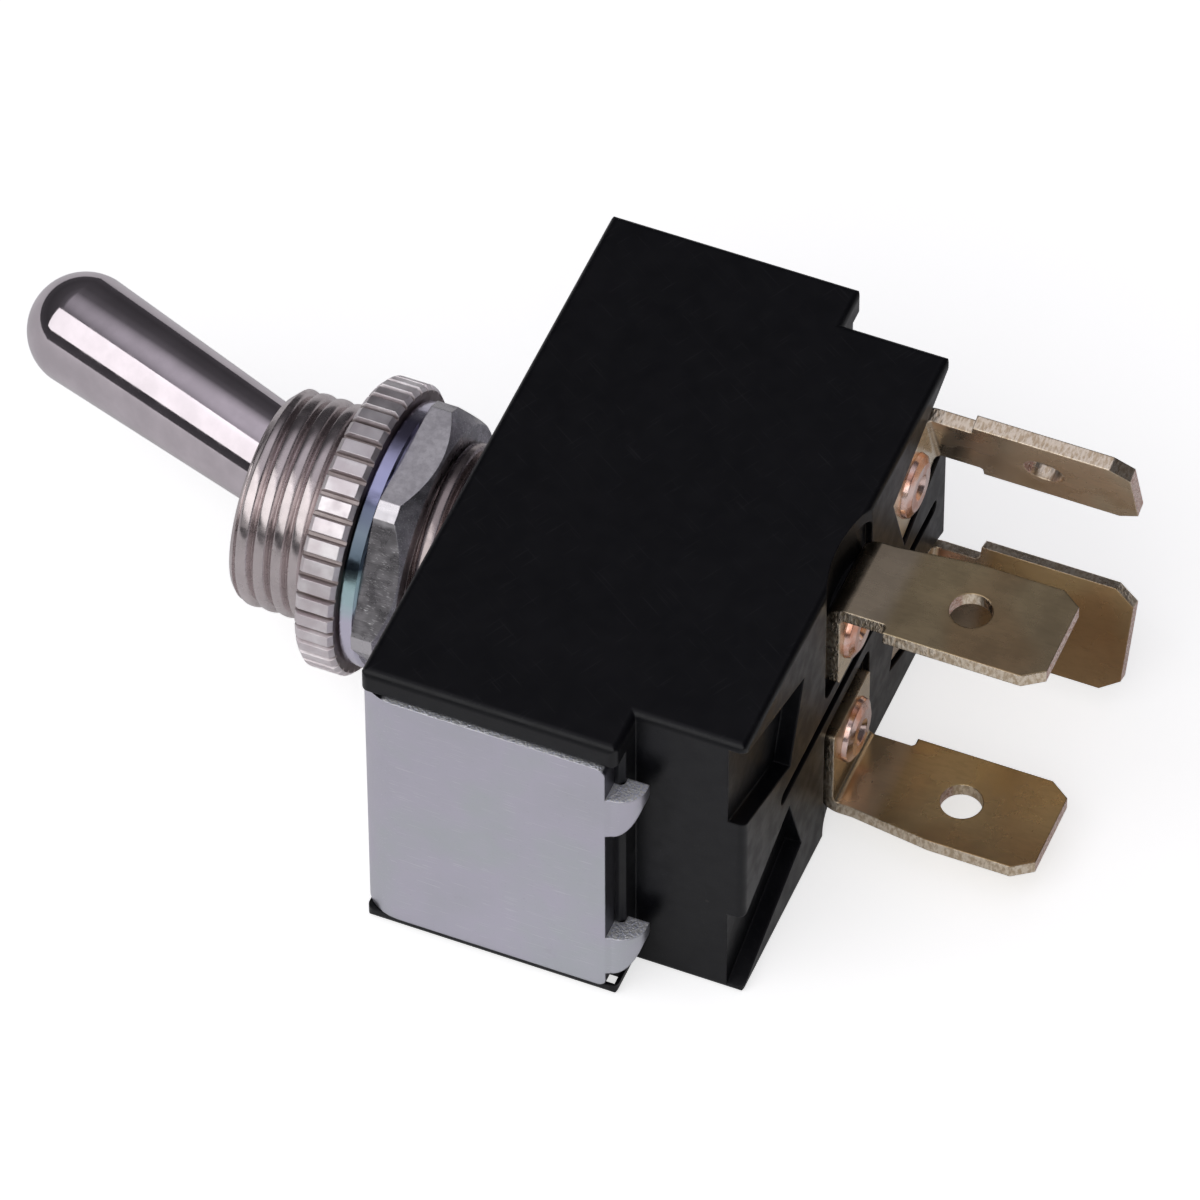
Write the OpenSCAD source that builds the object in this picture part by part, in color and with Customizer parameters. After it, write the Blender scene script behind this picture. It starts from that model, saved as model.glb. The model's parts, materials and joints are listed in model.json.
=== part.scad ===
// Panel toggle switch, two poles, on-off, with four push-on tabs.
// Sizes are in mm. The lever side is -Y, the tabs are +Y, +Z is the upper broad side.
// Modules are drawn with y = 0 on the front of the bracket; to_frame() moves them so
// that the origin is the middle of the exposed thread of the bushing.

/* [Housing] */
// Length of the front block
house_l = 34.3; // [31:0.1:38]
// Length of the narrower rear block
rear_l = 29.0; // [27:0.1:31]
// Width over the two broad faces
house_w = 20.3; // [18.5:0.1:23]
// Depth of the front block
front_d = 13.9; // [13:0.1:16]
// Depth of the rear block behind the shoulders
rear_d = 6.1; // [5.5:0.1:8]
// Radius of the moulded edges
edge_r = 0.45; // [0.2:0.05:0.8]
// Wall round the cavities
wall_t = 1.7; // [1.5:0.1:2]
// Wall at the ends of the cavities
end_wall_t = 1.7; // [1.2:0.1:2.2]
// Thickness of the rear floor
floor_t = 3.0; // [2.6:0.1:3.4]
// Thickness of the wall between the poles
divider_t = 1.4; // [1:0.1:1.8]
// Depth of the divider's edge behind the bracket front
divider_y = 9.2; // [9:0.1:11]
// Width of the groove along the rear face
groove_w = 0.9; // [0.5:0.1:1.4]
// Depth of that groove
groove_d = 0.7; // [0.3:0.1:1]
// Distance of the groove's near end from the end of the rear block
groove_near = 5.1; // [3:0.1:7]
// Distance of the groove's far end from the end of the rear block
groove_far = 1.6; // [1:0.1:4]
// Length of the relief through the lower lip at each end
relief_l = 1.05; // [0.8:0.05:1.2]
// Width of that relief
relief_w = 0.7; // [0.5:0.05:0.8]

/* [Terminal slots] */
// Distance of an end rivet from the middle
end_x = 9.5; // [9.2:0.1:10]
// Height of an end rivet over the middle plane
end_z = 5.0; // [4.6:0.1:5.4]
// Turn of the end slots and tabs
end_turn = 19.5; // [10:0.5:25]
// Width of an end slot
end_slot_w = 5.5; // [5.1:0.1:6]
// Reach of an end slot inward from its rivet
end_slot_in = 2.4; // [2:0.1:3]
// Depth of an end slot
end_slot_d = 0.95; // [0.8:0.05:1.4]
// Height of a pole's middle over the middle plane
pole_z = 4.3; // [4.1:0.1:4.5]
// Width of a centre slot
mid_slot_w = 6.5; // [5.6:0.1:7]
// Depth of a centre slot
mid_slot_d = 0.4; // [0.3:0.05:0.8]
// Depth of the scooped mouth of a centre slot
mouth_scoop = 0.65; // [0.4:0.05:1]
// Distance of a centre slot's inner end from the middle plane
mid_slot_z = 1.3; // [0.9:0.1:1.6]

/* [Bracket] */
// Thickness of the folded sheet
sheet_t = 1.2; // [1:0.1:1.4]
// Width of the bracket
sheet_w = 17.8; // [16.5:0.1:18.2]
// Height of the bracket's middle over the middle plane
sheet_z = -0.4; // [-0.5:0.05:0.2]
// Stand-out of the legs past the housing ends
leg_proud = 0.1; // [0:0.05:0.3]
// Inner radius of the folds
fold_r = 0.4; // [0.3:0.1:0.8]
// Distance of a leg's rear edge from the bracket front
leg_end_y = 13.35; // [12.5:0.05:13.6]
// Width of a fold-over ear at its root
ear_w = 2.95; // [2.4:0.05:3.6]
// Height of the upper ear's straight edge over the middle plane
ear_upper_z = 6.15; // [5.4:0.05:6.8]
// Depth of the lower ear's straight edge below the middle plane
ear_lower_z = 5.25; // [4.8:0.05:5.8]
// Inner radius of an ear's fold
ear_fold = 0.25; // [0.2:0.05:0.4]
// Flat length of an ear past its fold
ear_flat = 0.3; // [0.2:0.1:0.9]
// Reach of the curve that narrows an ear toward its end
ear_curve = 1.8; // [1.75:0.05:2.2]

/* [Bushing] */
// Outside diameter of the thread
thread_d = 12.0; // [11.8:0.05:12.2]
// Mean diameter of the thread under the nuts
mean_d = 11.4; // [11.3:0.05:11.5]
// Length of the bushing in front of the bracket
bush_l = 12.7; // [12:0.1:14]
// Exposed thread in front of the knurled nut
open_l = 4.4; // [3.5:0.1:6]
// Chamfer at the front of the thread
bush_ch = 0.5; // [0.3:0.1:0.7]
// Diameter of the mouth
mouth_d = 10.1; // [10:0.1:10.3]
// Diameter of the throat in front of the ball
throat_d = 7.0; // [6.9:0.1:7.1]
// Diameter of the spigot in the bracket
spigot_d = 11.0; // [10.8:0.1:11.2]
// Diameter of the bore's rear end
rear_bore_d = 9.7; // [9.6:0.1:9.8]
// Diameter of the rolled rim behind the bracket
rim_d = 12.4; // [12:0.1:12.6]
// Thickness of the rolled rim
rim_t = 0.5; // [0.3:0.05:0.5]

/* [Nuts and washer] */
// Diameter over the ridges of the knurled nut
knurl_d = 16.2; // [15:0.1:17]
// Thickness of the knurled nut
knurl_t = 2.2; // [1.8:0.1:3]
// Number of ridges
knurl_n = 44; // [30:1:60]
// Depth of the grooves between ridges
knurl_groove = 0.38; // [0.2:0.02:0.6]
// Outside diameter of the washer
washer_d = 14.7; // [14:0.1:16]
// Thickness of the washer
washer_t = 1.0; // [0.6:0.1:1.4]
// Width across flats of the hex nut
hex_af = 14.0; // [13:0.1:15]
// Thickness of the hex nut
hex_t = 2.1; // [1.8:0.1:2.6]
// Distance of a blunted corner of the hex nut from its axis
hex_corner = 7.79; // [7.5:0.01:8]
// Chamfer at the rear corners of the hex nut
hex_ch = 0.9; // [0.5:0.05:1.2]
// Chamfer at both faces of the knurled nut
knurl_ch = 0.25; // [0.1:0.05:0.35]

/* [Lever] */
// Distance of the pivot in front of the bracket
pivot_y = 7.0; // [6.8:0.1:7.2]
// Tilt of the lever to each side
tilt = 19; // [15:0.5:19]
// Distance of the tip's centre from the pivot
bat_l = 21.1; // [18:0.1:24]
// Diameter of the rounded tip
tip_d = 6.4; // [5.5:0.1:7]
// Diameter of the bat where it leaves the bushing
bat_d = 5.64; // [5:0.02:5.66]
// Diameter of the neck at the ball
neck_d = 4.76; // [4:0.02:4.76]
// Diameter of the ball
ball_d = 8.4; // [8:0.1:8.6]
// Diameter of the tail behind the ball
tail_d = 3.2; // [2.8:0.1:3.3]
// Reach of the tail from the pivot
tail_l = 14.2; // [13:0.1:15]
// Diameter of the pivot pin
pin_d = 2.0; // [1.6:0.1:2.4]
// Length of the pivot pin
pin_l = 11.2; // [10.4:0.1:11.4]

/* [Actuator and plungers] */
// Distance of the actuator's front from the pivot
act_r0 = 10.6; // [10.5:0.1:11]
// Distance of the actuator's rear from the pivot
act_r1 = 15.6; // [15:0.1:15.8]
// Width of the actuator along the row of contacts
act_x = 6.4; // [5.6:0.1:6.6]
// Wall of the actuator outside the plunger bores
act_wall = 1.05; // [0.8:0.05:1.2]
// Depth of the web in front of the plunger bores
act_web = 0.9; // [0.6:0.1:1.2]
// Outside diameter of a plunger
plunger_d = 3.0; // [2.6:0.1:3.2]
// Inside diameter of a plunger cup
cup_d = 2.2; // [1.8:0.1:2.3]
// Distance of the plunger's open end from the pivot
cup_r = 12.6; // [12.2:0.1:13]
// Distance of the plunger's tip centre from the pivot
tip_r = 18.3; // [18.1:0.05:18.4]
// Wire of the plunger springs
wire_d = 0.35; // [0.25:0.05:0.4]
// Turns of a plunger spring
spring_n = 7; // [5:1:9]

/* [Rockers and contacts] */
// Distance of the rocker pivots behind the bracket front
rock_y = 14.0; // [13.9:0.05:14.1]
// Tilt of a rocker to each side
rock_tilt = 7; // [6:0.25:7.5]
// Sheet thickness of a rocker
rock_t = 1.0; // [0.8:0.05:1.1]
// Width of a rocker
rock_w = 5.2; // [4.6:0.1:5.6]
// Radius of the dished middle
dish_r = 11.2; // [11.2:0.05:13]
// Half length of the dished middle
dish_x = 6.4; // [6:0.1:6.8]
// Reach of a rocker past its contact's middle
rock_over = 1.4; // [1.1:0.1:1.6]
// Radius of the nose that a rocker turns on
nose_r = 0.6; // [0.5:0.05:0.7]
// Diameter of a moving contact
button_d = 3.2; // [2.8:0.1:3.4]
// Diameter of a fixed contact
disc_d = 4.0; // [3.4:0.1:4.2]
// Thickness of a fixed contact
disc_t = 0.7; // [0.5:0.1:0.8]
// Thickness of the head inside that carries it
head_t = 0.8; // [0.6:0.1:1]
// Length of the foot plate of a rocker support
plate_l = 5.2; // [4.8:0.1:5.6]

/* [Terminals and rivets] */
// Thickness of the terminals
tab_t = 0.8; // [0.75:0.01:0.85]
// Width of a tab
tab_w = 6.3; // [6.2:0.01:6.4]
// Length of a tab past its shoulder
tab_l = 8.8; // [7.9:0.1:9.5]
// Width of the neck and foot of an end terminal
foot_w = 4.7; // [4.2:0.1:5]
// Width of the neck and foot of a centre terminal
mid_foot_w = 5.15; // [4.2:0.05:5.2]
// Offset of a centre terminal to one side of its rivet
mid_shift = 0.24; // [0:0.02:0.3]
// Distance of the centre shoulders behind the bracket front
mid_step_y = 23.0; // [22:0.1:24]
// Distance of the end shoulders behind the bracket front
end_step_y = 22.5; // [22:0.1:24]
// Distance of a tab's outer face from its rivet
tab_off = 3.7; // [3.4:0.1:4]
// Reach of a foot inward from its rivet
foot_in = 2.3; // [2:0.1:2.4]
// Diameter of the hole in a tab
hole_d = 2.3; // [1.8:0.1:2.6]
// Distance of that hole from the shoulder
hole_y = 3.7; // [3:0.1:4.5]
// Chamfer at the corners of a tab
tab_ch = 0.8; // [0.6:0.1:1.4]
// Diameter of the rivet shanks
rivet_d = 2.4; // [2:0.1:2.6]
// Diameter of the upset heads
upset_d = 3.7; // [3.2:0.1:4]
// Thickness of the upset heads
upset_t = 0.5; // [0.3:0.05:0.6]

/* [Clearances] */
// Side play of the bracket in the housing
sheet_clear = 0.08; // [0.04:0.01:0.15]
// Gap between the bracket's upper edge and the housing
sheet_gap = 0.2; // [0.08:0.02:0.3]
// Play of the nuts on the thread
nut_clear = 0.04; // [0.02:0.01:0.1]
// Play of the washer on the thread
washer_clear = 0.1; // [0.05:0.05:0.3]
// Radial running play of the pins and plungers
run_clear = 0.05; // [0.02:0.01:0.08]
// Play of the ball in its socket
ball_clear = 0.06; // [0.04:0.01:0.08]
// Gap left between the contacts when closed
contact_gap = 0.05; // [0.03:0.01:0.08]
// Play of the rivets in the floor
rivet_clear = 0.05; // [0.02:0.01:0.1]

/* [Hidden] */
$fn = 48;
e = 0.01;
total_d = front_d + rear_d;
floor_y = total_d - floor_t;
open_mid = (bush_l - bush_ch + bush_l - open_l) / 2;
knurl_y = bush_l - open_l;
washer_y = knurl_y - knurl_t;
hex_y = washer_y - washer_t;
neck_y = hex_y - hex_t;
outer_r = sheet_t + fold_r;
leg_x = house_l / 2 + leg_proud;
ear_r = sheet_t + ear_fold;
cav_x = rear_l / 2 - end_wall_t;
cav_z = house_w / 2 - wall_t;
insul_t = 0.4;
insul_lip = 0.6;
mid_floor = total_d - mid_slot_d;
end_floor = total_d - end_slot_d;
plate_t = 0.8;
cheek_t = 0.8;
cheek_gap = 2.8;
inner_head_d = 2.7;
head_d = 4.4;
button_x = end_x - 0.2;
rock_x = button_x + rock_over;
button_z = end_z - 0.1;
wing_y = -0.5;
button_h = (floor_y - head_t - disc_t - contact_gap - rock_y - button_x * sin(rock_tilt))
  / cos(rock_tilt) - wing_y;
dish_top = -(0.15 + rock_t);

module to_frame() translate([0, open_mid, 0]) children();
module steel() color([0.72, 0.71, 0.74]) children();
module nickel() color([0.80, 0.78, 0.76]) children();
module brass() color([0.72, 0.62, 0.40]) children();
module copper() color([0.85, 0.52, 0.38]) children();
module silver() color([0.86, 0.86, 0.88]) children();
module black() color([0.09, 0.09, 0.11]) children();

// A bar along Y from y0 to y1 with a rounded section in X and Z.
module rounded_slab(l, w, y0, y1, r)
  translate([0, y1, 0]) rotate([90, 0, 0]) linear_extrude(y1 - y0)
    offset(r) square([l - 2 * r, w - 2 * r], center = true);

// A block with all its edges rounded, from three crossing prisms.
module moulded_block(l, w, y0, y1, r) {
  d = y1 - y0;
  intersection() {
    rounded_slab(l, w, y0, y1, r);
    translate([0, (y0 + y1) / 2, -w / 2]) linear_extrude(w)
      offset(r) square([l - 2 * r, d - 2 * r], center = true);
    translate([-l / 2, (y0 + y1) / 2, 0]) rotate([90, 0, 90]) linear_extrude(l)
      offset(r) square([d - 2 * r, w - 2 * r], center = true);
  }
}

// Axis along +Y, starting at y0.
module along_y(y0) translate([0, y0, 0]) rotate([-90, 0, 0]) children();

// A solid of turning about Y: points are [radius, y].
module turned(pts, n = 64) rotate([-90, 0, 0]) rotate([0, 0, 0])
  rotate_extrude($fn = n) polygon(pts);

// ---------- housing ----------
module end_slot(sx, sz)
  translate([sx * end_x, 0, sz * end_z]) rotate([0, -sx * sz * end_turn, 0])
    translate([sx > 0 ? -end_slot_in : -9, end_floor, -end_slot_w / 2])
      cube([9 + end_slot_in, end_slot_d + 1, end_slot_w]);

module mid_slot(sz) {
  depth = house_w / 2 - 0.9 - mid_slot_z;
  translate([0, mid_floor, sz * (mid_slot_z + depth / 2)])
    rotate([-90, 0, 0]) linear_extrude(2)
      offset(0.6) square([mid_slot_w - 1.2, depth - 1.2], center = true);
  // the scooped mouth that runs out through the broad face
  scoop_r = (mid_slot_w * mid_slot_w / 4 + mouth_scoop * mouth_scoop) / (2 * mouth_scoop);
  translate([0, total_d - mouth_scoop + scoop_r, sz > 0 ? house_w / 2 - 3 : -house_w / 2 - 1])
    cylinder(r = scoop_r, h = 4, $fn = 120);
}

module housing_body() {
  moulded_block(house_l, house_w, 0, front_d, edge_r);
  moulded_block(rear_l, house_w, front_d - 2, total_d, edge_r);
}

// A bar along Z over the bracket's width, with its play on both sides.
module sheet_bar() {
  w = sheet_w + sheet_clear + sheet_gap;
  translate([0, 0, sheet_z - sheet_w / 2 - sheet_clear]) linear_extrude(w) children();
}

module channel() {
  // front channel for the plate
  sheet_bar() translate([-house_l, -1]) square([2 * house_l, 1 + sheet_t]);
  // end channels for the legs, with eased corners under the folds
  for (s = [0, 1]) mirror([s, 0, 0]) {
    sheet_bar() translate([leg_x - sheet_t, -1]) square([5, front_d + 2]);
    sheet_bar() translate([leg_x - sheet_t, sheet_t]) rotate(45)
      square(fold_r * 1.5, center = true);
    sheet_bar() translate([leg_x - sheet_t, front_d]) rotate(45)
      square(ear_fold * 1.5, center = true);
    // relief through the lower lip, behind the leg
    translate([house_l / 2 - 0.2 - relief_l, front_d - 0.2 - relief_w, -house_w])
      cube([relief_l, relief_w, house_w + sheet_z - sheet_w / 2 + 0.1]);
  }
}

module cavities() {
  for (s = [-1, 1])
    translate([-cav_x, sheet_t - 1, s > 0 ? divider_t / 2 : -cav_z])
      cube([2 * cav_x, floor_y - sheet_t + 1, cav_z - divider_t / 2]);
  translate([-cav_x, sheet_t - 1, -cav_z]) cube([2 * cav_x, divider_y - sheet_t + 1, 2 * cav_z]);
  translate([-cav_x - insul_lip, sheet_t - 1, -cav_z])
    cube([2 * (cav_x + insul_lip), 1 + insul_t, 2 * cav_z]);
}

module housing() black() to_frame()
  difference() {
    housing_body();
    channel();
    cavities();
    for (sx = [-1, 1], sz = [-1, 1]) end_slot(sx, sz);
    for (sz = [-1, 1]) {
      mid_slot(sz);
      translate([0, floor_y - 1, sz * pole_z]) along_y(0)
        cylinder(r = rivet_d / 2 + rivet_clear, h = floor_t + 2, $fn = 32);
      translate([-end_x, floor_y - 1, sz * end_z]) along_y(0)
        cylinder(r = rivet_d / 2 + rivet_clear, h = floor_t + 2, $fn = 32);
    }
    translate([(groove_far - groove_near) / 2, total_d - groove_d, 0]) rotate([-90, 0, 0])
      linear_extrude(groove_d + 1) offset(groove_w / 2 - e)
        square([rear_l - groove_near - groove_far - groove_w, 2 * e], center = true);
  }

// ---------- bracket ----------
// The folded sheet seen along Z: plate, two bends, two legs.
module bracket_outline() {
  difference() {
    translate([-leg_x, 0]) union() {
      translate([outer_r, 0]) square([2 * leg_x - 2 * outer_r, outer_r]);
      for (x = [outer_r, 2 * leg_x - outer_r]) translate([x, outer_r]) circle(r = outer_r);
      translate([0, outer_r]) square([2 * leg_x, leg_end_y - outer_r]);
    }
    translate([-leg_x + sheet_t, sheet_t]) union() {
      w = 2 * (leg_x - sheet_t);
      translate([fold_r, 0]) square([w - 2 * fold_r, fold_r + e]);
      for (x = [fold_r, w - fold_r]) translate([x, fold_r]) circle(r = fold_r, $fn = 24);
      translate([0, fold_r]) square([w, front_d]);
    }
  }
}

// One ear seen along Z, on the +X leg: fold and flat over the shoulder.
module ear_outline() {
  cx = leg_x - ear_r;
  cy = front_d - ear_fold;
  translate([leg_x - sheet_t, leg_end_y - 1]) square([sheet_t, cy - leg_end_y + 1]);
  intersection() {
    translate([cx, cy]) difference() {
      circle(r = ear_r);
      circle(r = ear_fold, $fn = 24);
    }
    translate([cx, cy]) square(ear_r + 1);
  }
  translate([cx - ear_flat, front_d]) square([ear_flat + e, sheet_t]);
}

// An ear on the +X leg: its upper edge is straight, its lower edge curves in toward the end.
module ear(top_z) intersection() {
  translate([0, 0, top_z - ear_w]) linear_extrude(ear_w) ear_outline();
  translate([0, leg_end_y, top_z]) rotate([90, 0, 90]) linear_extrude(house_l)
    polygon(concat([[-2, 0.5], [-2, -ear_w - 0.5], [-e, -ear_w - 0.5]],
      [for (i = [0 : 12]) let (a = i * 7.5) [ear_curve * sin(a), -ear_w * cos(a)]],
      [[ear_curve, 0.5]]));
}

module bracket() steel() to_frame() {
  difference() {
    intersection() {
      translate([0, 0, sheet_z - sheet_w / 2]) linear_extrude(sheet_w) bracket_outline();
      // rounded rear corners of the legs
      translate([-house_l, leg_end_y / 2 - 2, sheet_z]) rotate([90, 0, 90]) linear_extrude(2 * house_l)
        offset(0.5) square([leg_end_y + 3, sheet_w - 1], center = true);
    }
    along_y(-1) cylinder(r = spigot_d / 2 + sheet_clear / 2, h = sheet_t + 2, $fn = 64);
  }
  for (s = [0, 1], z = [ear_upper_z, -ear_lower_z]) mirror([s, 0, 0]) ear(z);
}

module insulator() color([0.45, 0.30, 0.20]) to_frame()
  difference() {
    translate([0, sheet_t, 0]) rotate([-90, 0, 0]) linear_extrude(insul_t)
      square([2 * (cav_x + insul_lip) - 2 * sheet_clear, 2 * cav_z - 2 * sheet_clear], center = true);
    along_y(0) cylinder(d = rim_d + 0.3, h = 4, $fn = 48);
  }

// ---------- bushing, nuts, washer ----------
// One turned piece: thread, spigot and rolled rim outside; flared mouth, throat,
// ball seat and rear bore inside.
module bushing() nickel() to_frame() {
  socket_r = ball_d / 2 + ball_clear;
  throat_y = pivot_y + sqrt(socket_r * socket_r - throat_d * throat_d / 4);
  rear_y = sheet_t + rim_t;
  difference() {
    turned([[throat_d / 2, -throat_y], [mouth_d / 2, -bush_l], [thread_d / 2 - bush_ch, -bush_l],
      [thread_d / 2, -bush_l + bush_ch], [thread_d / 2, -knurl_y], [mean_d / 2, -knurl_y],
      [mean_d / 2, -neck_y], [thread_d / 2, -neck_y], [thread_d / 2, 0], [spigot_d / 2, 0],
      [spigot_d / 2, sheet_t], [rim_d / 2, sheet_t], [rim_d / 2 - rim_t * 0.6, rear_y],
      [rear_bore_d / 2, rear_y], [socket_r, -2], [socket_r, -pivot_y + 0.4],
      [throat_d / 2, -pivot_y + 0.4]]);
    translate([0, -pivot_y, 0]) rotate([-90, 0, 0]) sphere(r = socket_r, $fn = 64);
    translate([0, -pivot_y, -thread_d]) cylinder(d = pin_d, h = 2 * thread_d, $fn = 32);
  }
}

module knurl_section() {
  r = knurl_d / 2;
  step = 360 / knurl_n;
  polygon([for (i = [0 : knurl_n - 1], k = [0 : 3])
    let (a = i * step + [0, 0.66, 0.74, 0.92][k] * step,
      q = k < 2 ? r : r - knurl_groove) [q * cos(a), q * sin(a)]]);
}

module knurled_nut() nickel() to_frame() {
  r = knurl_d / 2;
  difference() {
    intersection() {
      along_y(-knurl_y) linear_extrude(knurl_t) knurl_section();
      // cones that take the corners off both faces and meet outside the ridges
      turned([[0, -knurl_y], [r - knurl_ch, -knurl_y], [r + 0.4, -knurl_y + knurl_ch + 0.4],
        [r + 0.4, -washer_y - knurl_ch - 0.4], [r - knurl_ch, -washer_y], [0, -washer_y]], 88);
    }
    along_y(-knurl_y - 1) cylinder(r = mean_d / 2 + nut_clear, h = knurl_t + 2, $fn = 64);
    for (y = [-knurl_y, -washer_y]) along_y(y - 0.3)
      cylinder(r1 = mean_d / 2 + (y < -washer_y ? 0.6 : 0), r2 = mean_d / 2 + (y < -washer_y ? 0 : 0.6),
        h = 0.6, $fn = 64);
  }
}

module washer() color([0.62, 0.66, 0.80]) to_frame()
  difference() {
    turned([[0, -washer_y], [washer_d / 2 - 0.15, -washer_y], [washer_d / 2, -washer_y + 0.15],
      [washer_d / 2, -hex_y - 0.15], [washer_d / 2 - 0.15, -hex_y], [0, -hex_y]], 72);
    along_y(-washer_y - 1) cylinder(r = thread_d / 2 + washer_clear, h = washer_t + 2, $fn = 64);
  }

module hex_nut() steel() to_frame() {
  corner_r = hex_af / sqrt(3);
  difference() {
    intersection() {
      along_y(-hex_y) rotate([0, 0, -6]) linear_extrude(hex_t) intersection() {
        circle(r = corner_r, $fn = 6);
        rotate(30) circle(r = hex_corner / cos(30), $fn = 6);
      }
      // cone that chamfers the rear corners only
      turned([[0, -hex_y - 1], [hex_corner + 1, -hex_y - 1], [hex_corner + 1, -neck_y - hex_ch - 1],
        [hex_corner - hex_ch, -neck_y], [0, -neck_y]], 72);
    }
    along_y(-hex_y - 1) cylinder(r = mean_d / 2 + nut_clear, h = hex_t + 2, $fn = 64);
  }
}

// ---------- lever ----------
module pivot_pin() steel() to_frame()
  translate([0, -pivot_y, -pin_l / 2]) cylinder(d = pin_d, h = pin_l, $fn = 32);

// Children are drawn with the lever straight: origin at the pivot, tip along -Y.
module tilted() to_frame() translate([0, -pivot_y, 0]) rotate([0, 0, -tilt]) children();

module lever() nickel() tilted()
  difference() {
    union() {
      // bat: neck, taper and round tip in one turned profile
      turned(concat([[0, 0], [neck_d / 2, 0], [neck_d / 2, -3], [bat_d / 2, -7.2]],
        [for (i = [0 : 12]) let (a = 3 + i * 87 / 12)
          [tip_d / 2 * cos(a), -bat_l - tip_d / 2 * sin(a)]]), 56);
      rotate([-90, 0, 0]) sphere(d = ball_d, $fn = 56);
      turned([[0, 0], [tail_d / 2, 0], [tail_d / 2, tail_l - 0.3], [tail_d / 2 - 0.3, tail_l],
        [0, tail_l]], 40);
    }
    translate([0, 0, -ball_d]) cylinder(r = pin_d / 2 + run_clear, h = 2 * ball_d, $fn = 32);
  }

act_z = pole_z + plunger_d / 2 + run_clear + act_wall;
cup_end = tip_r + 0.2;

module actuator() color([0.62, 0.20, 0.14]) tilted()
  difference() {
    translate([0, 0, -act_z]) linear_extrude(2 * act_z) polygon([
      [-act_x / 2, act_r0 + 0.3], [-act_x / 2 + 0.8, act_r0], [act_x / 2 - 0.8, act_r0],
      [act_x / 2, act_r0 + 0.3], [act_x / 2, act_r1 - 0.5], [act_x / 2 - 0.5, act_r1],
      [-act_x / 2 + 0.5, act_r1], [-act_x / 2, act_r1 - 0.5]]);
    along_y(0) cylinder(d = tail_d, h = tail_l, $fn = 40);
    for (s = [-1, 1]) translate([0, act_r0 + act_web, s * pole_z]) along_y(0)
      cylinder(r = plunger_d / 2 + run_clear, h = act_r1, $fn = 40);
  }

module plunger(s) brass() tilted() translate([0, 0, s * pole_z])
  difference() {
    turned(concat([[0, cup_r], [plunger_d / 2, cup_r]],
      [for (i = [0 : 8]) let (a = i * 90 / 8)
        [plunger_d / 2 * cos(a), tip_r + plunger_d / 2 * sin(a)]]), 40);
    turned([[0, cup_r - 1], [cup_d / 2, cup_r - 1], [cup_d / 2, cup_end], [0, cup_end]], 32);
  }
module plunger_upper() plunger(1);
module plunger_lower() plunger(-1);

// A coil spring with closed end turns.
module spring(s) color([0.6, 0.6, 0.63]) tilted() translate([0, 0, s * pole_z]) {
  r0 = act_r0 + act_web + wire_d / 2;
  r1 = cup_end - wire_d / 2;
  mean_r = cup_d / 2 - 0.12 - wire_d / 2;
  n = 14;
  k = 8;
  steps = spring_n * n;
  closed = wire_d * 1.06;
  pitch = (r1 - r0 - 2 * closed) / (spring_n - 2);
  pts = [for (i = [0 : steps], j = [0 : k - 1])
    let (a = i * 360 / n, b = j * 360 / k, q = mean_r + wire_d / 2 * cos(b), t = i / n,
      lift = t < 1 ? t * closed : t > spring_n - 1
        ? r1 - r0 - (spring_n - t) * closed : closed + (t - 1) * pitch)
      [q * cos(a), r0 + lift + wire_d / 2 * sin(b), q * sin(a)]];
  faces = concat([[for (j = [0 : k - 1]) j]],
    [for (i = [0 : steps - 1], j = [0 : k - 1])
      [i * k + j, (i + 1) * k + j, (i + 1) * k + (j + 1) % k, i * k + (j + 1) % k]],
    [[for (j = [k - 1 : -1 : 0]) steps * k + j]]);
  polyhedron(pts, faces, convexity = 10);
}
module spring_upper() spring(1);
module spring_lower() spring(-1);

// ---------- rockers and contacts ----------
// Children are drawn with the rocker level: origin on its pivot line, front toward -Y.
module rocked(s) to_frame() translate([0, rock_y, s * pole_z]) rotate([0, 0, rock_tilt]) children();

module rocker_outline() {
  a1 = asin(dish_x / dish_r);
  n = 16;
  cy = dish_top - dish_r;
  top_end = cy + dish_r * cos(a1);
  difference() {
    polygon(concat(
      [[-rock_x, wing_y], [-rock_x, wing_y - rock_t], [-dish_x - 1.5, wing_y - rock_t],
        [-dish_x - 0.3, top_end]],
      [for (i = [-n : n]) let (a = i * a1 / n) [dish_r * sin(a), cy + dish_r * cos(a)]],
      [[dish_x + 0.3, top_end], [dish_x + 1.5, wing_y - rock_t], [rock_x, wing_y - rock_t],
        [rock_x, wing_y]],
      [[dish_x + 0.9, wing_y], [dish_x - 0.1, top_end + rock_t + 0.25]],
      [for (i = [n - 2 : -1 : -n + 2]) let (a = i * a1 / n)
        [(dish_r + rock_t) * sin(a), cy + (dish_r + rock_t) * cos(a)]],
      [[-dish_x + 0.1, top_end + rock_t + 0.25], [-dish_x - 0.9, wing_y]]));
    circle(r = nose_r + run_clear, $fn = 32);
  }
}

module rocker(s) brass() rocked(s) difference() {
  translate([0, 0, -rock_w / 2]) linear_extrude(rock_w) rocker_outline();
  translate([-button_x, wing_y - 2, s * (button_z - pole_z)]) along_y(0)
    cylinder(d = 1.4, h = 4, $fn = 24);
}
module rocker_upper() rocker(1);
module rocker_lower() rocker(-1);

// Domed silver button with its stem riveted in the rocker's end.
module moving_contact(s) silver() rocked(s)
  translate([-button_x, 0, s * (button_z - pole_z)])
    turned([[0, wing_y - rock_t - 0.25], [0.95, wing_y - rock_t - 0.25], [1.1, wing_y - rock_t],
      [0.7, wing_y - rock_t], [0.7, wing_y], [button_d / 2, wing_y],
      [button_d / 2, wing_y + button_h - 0.32], [button_d / 4, wing_y + button_h - 0.1],
      [0, wing_y + button_h]], 32);
module moving_contact_upper() moving_contact(1);
module moving_contact_lower() moving_contact(-1);

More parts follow.
